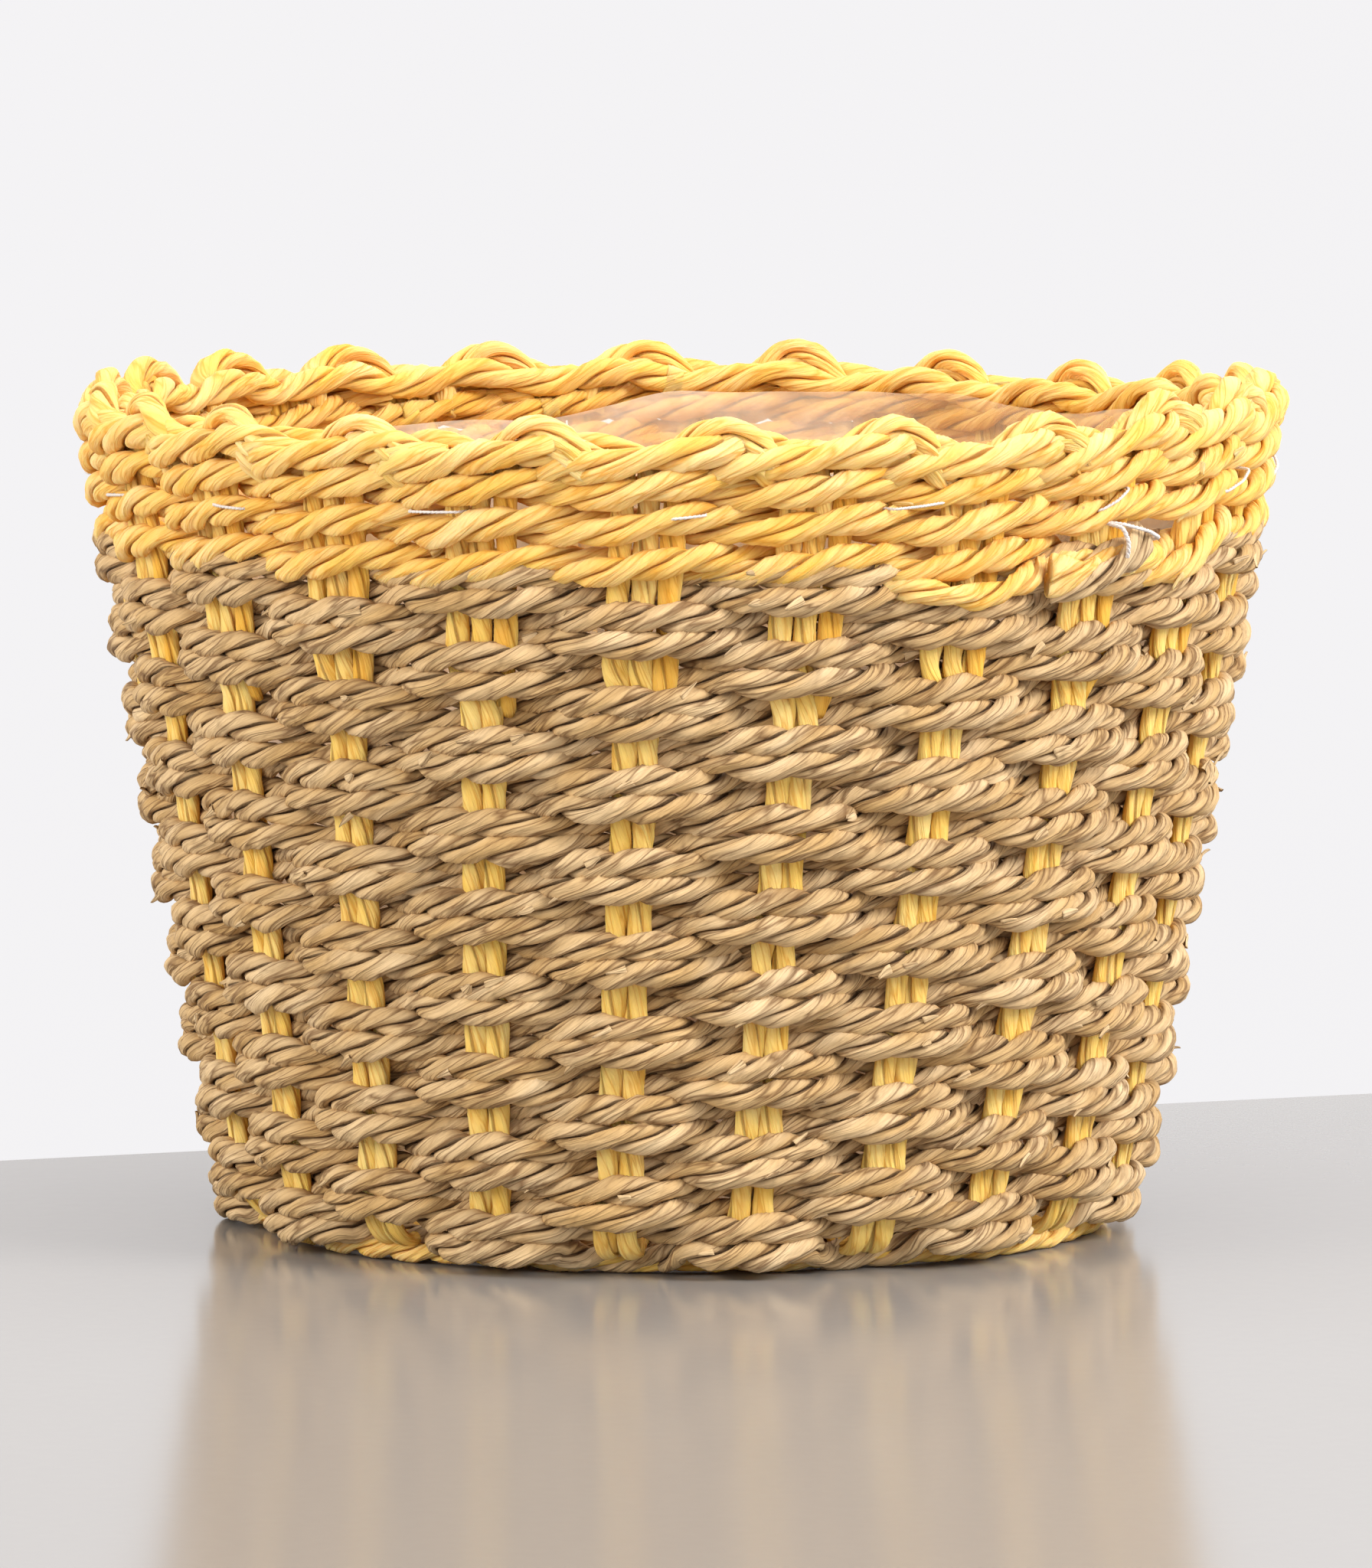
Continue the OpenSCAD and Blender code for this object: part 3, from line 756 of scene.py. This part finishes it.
def border_strand(build, k, seed):
    """From behind the strand before it, over stake k, rising, and in under the next one."""
    u = np.linspace(-0.86, 0.74, BORDER_POINTS)
    z = LOW_Z + (HIGH_Z - LOW_Z) * ramp(u, -0.75, 0.62) - MM * 2.0 * ramp(u, 0.45, 0.74)
    z = z - MM * 1.0 * ramp(-u, 0.5, 0.86)
    r = wall_r(z) + MM * (2.3 - 4.6 * ramp(-u, 0.42, 0.86) - 5.5 * ramp(u, 0.30, 0.74))
    az = stake_at(k + u, LOW_Z)
    path = around(r, az, z + tilt_of(az) + border_sag(az))
    path, uu = spaced(path, BORDER_STEP, u)
    fat = 1 - 0.35 * ramp(np.abs(uu + 0.06), 0.45, 0.8)
    rope(build, path, outward(path), 3.35 * MM * fat, 2.85 * MM * fat, OUTER_TWIST, seed,
         turn=seed * 1.9, folds=9, tint=0.1, painted_shade_share=0.35)


def border_arch(build, k, seed):
    """Two nested flat strands, up from inside, over, and down behind the next strand."""
    wander = 0.05 * float(noise(k * 1.37, 0.5, 77))
    # To the left of the front the scallops stand further back along the rim.
    right = float(np.angle(np.exp(1j * (stake_at(k + 0.4, CREST) - FRONT))))
    wander -= 0.22 * float(ramp(-right, math.radians(-2), math.radians(28)) * ramp(right, -2.2, -1.2))
    rise = 0.8 * MM * float(noise(k * 2.17, 0.5, 78))
    for nest in (0, 1):
        half = 0.30 - 0.06 * nest
        u = np.linspace(-1.12, 1.22, BORDER_POINTS)
        crest = CREST - (2.5 + 3.3 * nest) * MM + rise
        z = crest - MM * (7.0 - 1.0 * nest) * np.abs(u) ** 1.9 * np.where(u > 0, 1.1, 0.8)
        r = wall_r(crest) + MM * (-1.2 - 1.6 * ramp(-u, 0.2, 1.1) + 1.1 * ramp(u, 0.0, 0.8)
                                  - 3.4 * ramp(u, 0.75, 1.2) + 0.7 * nest)
        az = stake_at(k + 0.41 + wander + 0.04 * nest + half * u, CREST)
        path = around(r, az, z + 0.75 * tilt_of(az) + border_sag(az))
        path, uu = spaced(path, ARCH_STEP, u)
        flare = 1 + 0.32 * ramp(uu, 0.2, 1.0) - 0.25 * ramp(-uu, 0.3, 1.1)
        rope(build, path, outward(path), 2.3 * MM * flare, 2.8 * MM * (1 - 0.12 * nest) * flare,
             ARCH_TWIST, seed + nest * 5, groove=0.8, turn=seed * 0.9 + nest, folds=10,
             crumple=1.2, tint=0.1, painted_shade_share=0.2)


build = Build()
for k in range(STAKES):
    border_strand(build, k, 3000 + k * 3)
build.finish("border_outer", "border_strands", YELLOW)

build = Build()
for k in range(STAKES):
    border_arch(build, k, 3300 + k * 11)
build.finish("border_scallops", "border_arches", YELLOW)

build = Build()
_, _, ring_z = ring_of("border_inner_ring")
az = turn_azimuths(BACK_SEAM)
u = (az - float(stake_at(0, CREST))) / STEP
z = (ring_z.max() + ring_z.min()) / 2 + MM * (1.3 * np.cos(TAU * (u - 0.55)) - 2.8)
r = wall_r(z) + MM * (-5.6 + 1.0 * np.cos(TAU * (u - 0.05)))
path = spaced(around(r, az, z + tilt_of(az) + border_sag(az)), CORD_STEP)
rope(build, path, outward(path), 3.1 * MM, 2.5 * MM, INNER_TWIST, 3901, folds=9, painted_shade_share=0.15)
build.finish("border_inner", "border_inner_ring", YELLOW)

# -------------------------------------------------------------------- base
for number in (1, 2, 3):
    build = Build()
    r, _, z = ring_of(f"base_round_{number}")
    r0, z0 = (r.max() + r.min()) / 2, (z.max() + z.min()) / 2
    az = turn_azimuths(BACK_SEAM + 0.3)
    u = (az - float(stake_at(0, 0))) / STEP
    w = weave(u + number)
    for side in (-1, 1):
        seed = 4000 + number * 10 + side
        path = around(r0 + side * MM * (2.05 + 0.3 * w * w), az, z0 + 3.75 * MM * w)
        path = spaced(path, CORD_STEP)
        rope(build, path, np.repeat([[0, 0, -1.0]], len(path), 0), 2.35 * MM, 2.3 * MM, BASE_TWIST,
             seed, cols=24, turn=seed * 1.1)
    build.finish(f"base_cord_{number}", f"base_round_{number}", TAN)

build = Build()
foot_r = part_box("foot_rope")[1].x
az = turn_azimuths(BACK_SEAM)
# The foot rope shows from under the weave at both sides of the front.
away = np.abs(np.angle(np.exp(1j * (az - FRONT))))
r = foot_r + MM * (-1.0 + 3.6 * ramp(away, 0.35, 0.8) * (1 - ramp(away, 1.5, 2.0)))
path = spaced(around(r, az, 2.5 * MM), CORD_STEP)
rope(build, path, outward(path), 2.35 * MM, 2.5 * MM, FOOT_TWIST, 4400)
build.finish("foot_cord", "foot_rope", YELLOW)

# ------------------------------------------------------------------- liner
film_low, film_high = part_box("film_liner")
FILM_R = film_high.x
FLOOR_Z, TOP_Z = film_low.z, film_high.z
# The film's wall starts this far above its floor.
WALL_START = 2.4 * MM


def film_wall(z):
    return FILM_R - (TOP_Z - z) * wall_fit[0] - 0.6 * MM


def make_liner():
    """A bag of film: a floor, a wall that follows the weave, and an uneven upper edge."""
    cols, floor_rows, wall_rows = 256, 26, 78
    az = TAU * np.arange(cols) / cols
    edge = TOP_Z - MM * (3.5 + 2.5 * noise(az * 16 / TAU, 0.5, 51, 16)
                         + 1.3 * noise(az * 44 / TAU, 0.5, 52, 44))
    edge = edge - MM * (1.2 + 5.5 * ramp(np.cos(az - math.radians(150)), 0.5, 0.75)
                        + 3 * near_azimuth(az, -90, 60))
    edge = edge + band_sag(az)
    rows = []
    for i in range(floor_rows):
        f = i / floor_rows
        rad = film_wall(FLOOR_Z) * f
        z = FLOOR_Z + MM * (0.9 + 0.8 * noise(az * 10 / TAU, f * 6, 53, 10) * ramp(f, 0, 0.15)
                            + 1.6 * ramp(f, 0.9, 1.0))
        rows.append(around(rad + 0 * az, az, z))
    for i in range(wall_rows):
        f = i / (wall_rows - 1)
        z = FLOOR_Z + WALL_START + (edge - FLOOR_Z - WALL_START) * f
        fold = (0.55 * crease(noise(az * 18 / TAU + f * 1.5, f * 3.1, 54, 18), 0.5)
                + 0.4 * noise(az * 34 / TAU - f * 2, f * 9, 55, 34)
                + 0.5 * crease(noise(az * 9 / TAU - f * 2.4, f * 5.0, 56, 9), 0.18))
        rad = film_wall(z) + MM * (0.9 * fold - 0.25)
        # The free edge leans and curls in a little.
        rad = rad - MM * 1.4 * ramp(f, 0.93, 1.0) * (0.4 + noise(az * 13 / TAU, 0.5, 57, 13))
        rows.append(around(rad, az, z))
    points = np.concatenate([rows[0][:1], *rows[1:]])
    grid = 1 + np.arange((len(rows) - 1) * cols).reshape(-1, cols)
    a, b = grid[:-1], grid[1:]
    quads = np.stack([a, np.roll(a, -1, 1), np.roll(b, -1, 1), b], -1).reshape(-1, 4)
    fan = [[0, int(grid[0, j]), int(grid[0, (j + 1) % cols])] for j in range(cols)]
    build = Build()
    build.add(points, [quads, *fan], points, np.zeros_like(points))
    return build.finish("film_bag", "film_liner", FILM)


make_liner()

# ------------------------------------------------------- stitches and ends
THREAD_R, THREAD_TWIST = 0.34 * MM, 1.8 * MM
END_STEP = 0.7 * MM
# One stitch: shares of its slant and climb, and how far out it is, in millimetres.
STITCH = ((-1, -1, 0.5), (-0.8, -0.9, 4.4), (0, 0, 5.4), (0.8, 0.9, 4.4), (1, 1, 0.5))


def thread(build, points, seed, thick=THREAD_R):
    path = spaced(smooth(spaced(np.array(points, float), 0.5 * MM), 4), 0.4 * MM)
    rope(build, path, outward(path), thick, thick, THREAD_TWIST, seed, cols=12, groove=0.6,
         crumple=0.4, folds=3)


def wall_point(az_deg, z_mm, out_mm):
    """A point az_deg right of the front, z_mm up and out_mm out from the circle of stakes."""
    a = math.radians(az_deg) + FRONT
    z = z_mm * MM
    r = float(wall_r(z)) + out_mm * MM
    return [r * math.cos(a), r * math.sin(a), z + float(tilt_of(a))]


build = Build()
_, stitch_a, _ = ring_of("liner_stitches")
STITCHES = 16
stitch_turn = np.angle(np.exp(1j * stitch_a * STITCHES).mean()) / STITCHES
for i in range(STITCHES):
    deg = math.degrees(stitch_turn - FRONT) + i * 360 / STITCHES
    deg = (deg + 180) % 360 - 180
    deg = deg - 1.5 - 3.5 * float(ramp(-deg, 5, 40))
    rng = np.random.default_rng(600 + i)
    # The stitches lie nearly flat, and steeper towards the right.
    slant, level = rng.uniform(2.2, 3.4), rng.uniform(152.6, 154.6)
    climb = rng.uniform(-0.3, 0.8) + 1.9 * float(ramp(deg, 25, 45))
    thread(build, [wall_point(deg + slant * along, level + climb * up, out)
                   for along, up, out in STITCH], 5000 + i)
build.finish("liner_thread", "liner_stitches", THREAD)

# The yellow cord's first end hooks down over the top tan rounds.
build = Build()
deg = np.linspace(20.5, 37.5, 70)
level = np.interp(deg, [20.5, 25, 29, 32.5, 37.5], [138.0, 136.9, 135.2, 136.6, 140.6])
out = 4.9 - 5.0 * (1 - ramp(deg, 20.5, 24.0)) - 3.5 * ramp(deg, 34.5, 37.5)
path = np.array([wall_point(d, l, o) for d, l, o in zip(deg, level, out)])
path = smooth(spaced(path, END_STEP), 8)
rope(build, path, outward(path), 2.7 * MM, 2.4 * MM, SIDE_TWIST, 6001, folds=11, crumple=1.2,
     tint=0.1)
# The band's own start ends beside it in a flared cut.
deg = np.linspace(48.0, 36.8, 50)
level = 139.6 - 0.9 * ramp(-deg, -44, -37)
out = 4.6 + 2.2 * ramp(-deg, -45, -38)
path = np.array([wall_point(d, l, o) for d, l, o in zip(deg, level, out)])
path, deg = spaced(path, END_STEP, deg)
open_end = ramp(-deg, -42.5, -36.8)
rope(build, path, outward(path), MM * (2.7 + 1.7 * open_end), MM * (2.4 - 1.1 * open_end),
     SIDE_TWIST, 6011, folds=11, crumple=1.3, tint=0.3)
build.finish("yellow_end", "splice_end", YELLOW)

# The tan cord's end turns up beside it, widening to a torn tip.
build = Build()
tail = [wall_point(38.6, 134.6, 3.0), wall_point(40.8, 135.8, 6.4), wall_point(43.8, 138.6, 8.2),
        wall_point(46.6, 142.2, 8.4), wall_point(48.4, 145.4, 7.4)]
path = spaced(smooth(spaced(np.array(tail), 1 * MM), 5), 0.6 * MM)
f = np.linspace(0, 1, len(path))
rope(build, path, outward(path), MM * (2.5 + 1.5 * ramp(f, 0.4, 1.0)), MM * (2.2 - 0.6 * f),
     TAIL_TWIST, 6101, folds=11, crumple=1.3, tint=0.5, painted_shade_share=0.2)
build.finish("tan_end", "tan_tail", TAN)

# A thread goes round it in a narrow V.
build = Build()
thread(build, [wall_point(44.4, 148.4, 4.0), wall_point(44.9, 148.2, 8.4), wall_point(47.4, 146.6, 10.4),
               wall_point(49.8, 144.9, 9.0), wall_point(50.4, 144.4, 6.4)], 6201, 0.42 * MM)
thread(build, [wall_point(44.4, 148.4, 4.0), wall_point(44.7, 147.6, 8.6), wall_point(45.0, 144.6, 10.2),
               wall_point(45.2, 141.4, 9.8), wall_point(45.4, 139.9, 7.6)], 6207, 0.5 * MM)
build.finish("tail_thread", "tail_tie", THREAD)

# ------------------------------------------------------- table and backdrop
def stage_mesh(name, points, faces, material):
    mesh = bpy.data.meshes.new(name)
    mesh.from_pydata(points, [], faces)
    mesh.update()
    obj = bpy.data.objects.new(name, mesh)
    bpy.context.scene.collection.objects.link(obj)
    obj.data.materials.append(material)


# The table's far edge runs slantwise behind the basket.
TABLE_X, TABLE_FRONT, TABLE_THICK = (-0.9, 1.2), -3.2, 30 * MM
EDGE_MID, EDGE_SLOPE = 149 * MM, math.tan(math.radians(21.3))
# The backdrop stands further off than any camera that goes round the basket.
WALL_Y, WALL_BEND, FLOOR_DROP, WALL_TOP, WALL_HALF = 3.2, 0.6, -0.6, 6.0, 7.0


def make_table():
    material, tree, shader = node_tree("table_top")
    where = add_node(tree, "ShaderNodeTexCoord").outputs["Object"]
    cloud = cloud_noise(tree, where, 3.0, 3.0)
    fine = cloud_noise(tree, where, 260.0)
    tree.links.new(blend_colour(tree, cloud, (0.282, 0.268, 0.257), (0.305, 0.295, 0.287)),
                   shader.inputs["Base Color"])
    tree.links.new(stretch_range(tree, fine, 0.3, 0.7, 0.15, 0.17), shader.inputs["Roughness"])
    shader.inputs["Specular IOR Level"].default_value = 0.5
    rim = [(x, TABLE_FRONT) for x in TABLE_X] + [(x, EDGE_MID + EDGE_SLOPE * x) for x in TABLE_X[::-1]]
    points = [(x, y, z) for z in (0.0, -TABLE_THICK) for x, y in rim]
    faces = [(0, 1, 2, 3), (7, 6, 5, 4), *[(i, i + 4, (i + 1) % 4 + 4, (i + 1) % 4) for i in range(4)]]
    stage_mesh("table", points, faces, material)


def make_backdrop():
    material, tree, shader = node_tree("backdrop_paper")
    where = add_node(tree, "ShaderNodeTexCoord").outputs["Object"]
    cloud = cloud_noise(tree, where, 1.2)
    shade = blend_colour(tree, cloud, (0.885, 0.875, 0.89), (0.915, 0.905, 0.92))
    tree.links.new(shade, shader.inputs["Emission Color"])
    shader.inputs["Emission Strength"].default_value = 0.98
    shader.inputs["Base Color"].default_value = (0.02, 0.02, 0.02, 1)
    shader.inputs["Roughness"].default_value = 1.0
    shader.inputs["Specular IOR Level"].default_value = 0.0
    bend = [(WALL_Y + WALL_BEND * math.sin(t), FLOOR_DROP * math.cos(t))
            for t in np.linspace(0.1, math.pi / 2, 12)]
    profile = [(-4.0, FLOOR_DROP), (WALL_Y, FLOOR_DROP), *bend, (WALL_Y + WALL_BEND, WALL_TOP)]
    points = [(x, y, z) for x in (-WALL_HALF, WALL_HALF) for y, z in profile]
    n = len(profile)
    faces = [(i, i + n, i + n + 1, i + 1) for i in range(n - 1)]
    stage_mesh("backdrop", points, faces, material)


make_table()
make_backdrop()

# ---------------------------------------------------------- light and camera
scene = bpy.context.scene
world = bpy.data.worlds.new("studio")
scene.world = world
world.use_nodes = True
background = world.node_tree.nodes["Background"]
background.inputs[0].default_value = (1.0, 0.985, 0.97, 1)
background.inputs[1].default_value = 1.0


def area_light(name, place, aim, size, power, colour=(1, 1, 1)):
    """A square softbox, with its size in metres and its power in watts."""
    data = bpy.data.lights.new(name, "AREA")
    data.shape, data.size = "SQUARE", size
    data.energy, data.color = power, colour
    obj = bpy.data.objects.new(name, data)
    obj.location = place
    obj.rotation_euler = (Vector(aim) - Vector(place)).to_track_quat("-Z", "Y").to_euler()
    scene.collection.objects.link(obj)


area_light("key", (1.28, -0.78, 1.05), (0, 0, 0.08), 0.7, 30, (1.0, 0.98, 0.95))
area_light("top", (0.1, 0.2, 1.5), (0, 0, 0.1), 1.2, 8.5)
area_light("left_fill", (-1.5, -0.9, 0.7), (0, 0, 0.08), 1.0, 19, (1.0, 0.93, 0.80))

# The camera was fitted to the weave's own grid in the photo.
camera_data = bpy.data.cameras.new("camera")
camera = bpy.data.objects.new("camera", camera_data)
scene.collection.objects.link(camera)
camera_data.sensor_width = 36
camera_data.lens = 304.0
camera_data.clip_start, camera_data.clip_end = 0.05, 30
camera.location = (0.0010, -2.675, 0.3575)
camera.rotation_euler = (math.pi / 2 - 0.100, 0, 0)
scene.camera = camera
scene.view_settings.view_transform = "Standard"
